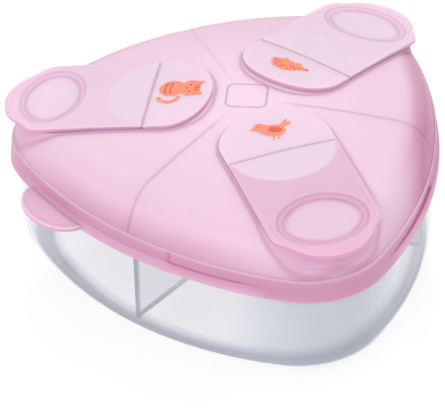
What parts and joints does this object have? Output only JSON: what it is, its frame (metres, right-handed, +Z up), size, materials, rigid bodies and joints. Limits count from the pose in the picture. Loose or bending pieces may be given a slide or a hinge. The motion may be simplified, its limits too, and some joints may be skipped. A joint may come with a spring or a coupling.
{
  "type": "formula dispenser",
  "caption": "Rounded-triangle milk powder box with a loose chamber divider, a domed press-fit lid and a flip-up spout flap over each corner.",
  "frame": {"origin": "middle of the flat base, on the axis where the divider's walls meet", "axes": "+Z up, out of the lid; -Y towards the front corner; the other corners are a third of a turn each way"},
  "size_m": [0.1304, 0.1252, 0.0517],
  "materials": {
    "clear_plastic": "clear moulded polypropylene, lightly frosted",
    "lid_plastic": "translucent pink polypropylene, fine satin",
    "tongue_plastic": "translucent pale pink polypropylene, fine satin",
    "printed_ink": "screen-printed orange ink"
  },
  "bodies": {
    "tub": {"container": "clear_plastic"},
    "divider": {"divider": "clear_plastic"},
    "lid": {"lid_shell": "lid_plastic", "anchor_plate_front": "tongue_plastic", "anchor_plate_right": "tongue_plastic", "anchor_plate_left": "tongue_plastic", "hinge_web_front": "tongue_plastic", "hinge_web_right": "tongue_plastic", "hinge_web_left": "tongue_plastic"},
    "flap_front": {"spout_flap_front": "tongue_plastic"},
    "flap_right": {"spout_flap_right": "tongue_plastic"},
    "flap_left": {"spout_flap_left": "tongue_plastic"}
  },
  "joints": [
    {"name": "lid_lift", "type": "slide", "parent": "tub", "child": "lid", "axis": [0, 0, 1], "range_m": [0, 0.09]},
    {"name": "divider_lift", "type": "slide", "parent": "tub", "child": "divider", "axis": [0, 0, 1], "range_m": [0, 0.04]},
    {"name": "flap_front_hinge", "type": "hinge", "parent": "lid", "child": "flap_front", "pos_m": [0, -0.0274, 0.04962], "axis": [-1, 0, 0], "range_deg": [0, 110]},
    {"name": "flap_right_hinge", "type": "hinge", "parent": "lid", "child": "flap_right", "pos_m": [0.02373, 0.0137, 0.04962], "axis": [0.5, -0.866, 0], "range_deg": [0, 110]},
    {"name": "flap_left_hinge", "type": "hinge", "parent": "lid", "child": "flap_left", "pos_m": [-0.02373, 0.0137, 0.04962], "axis": [0.5, 0.866, 0], "range_deg": [0, 110]}
  ],
  "couplings": [
    {"joint": "divider_lift", "follows": "lid_lift", "ratio": 0.44}
  ]
}
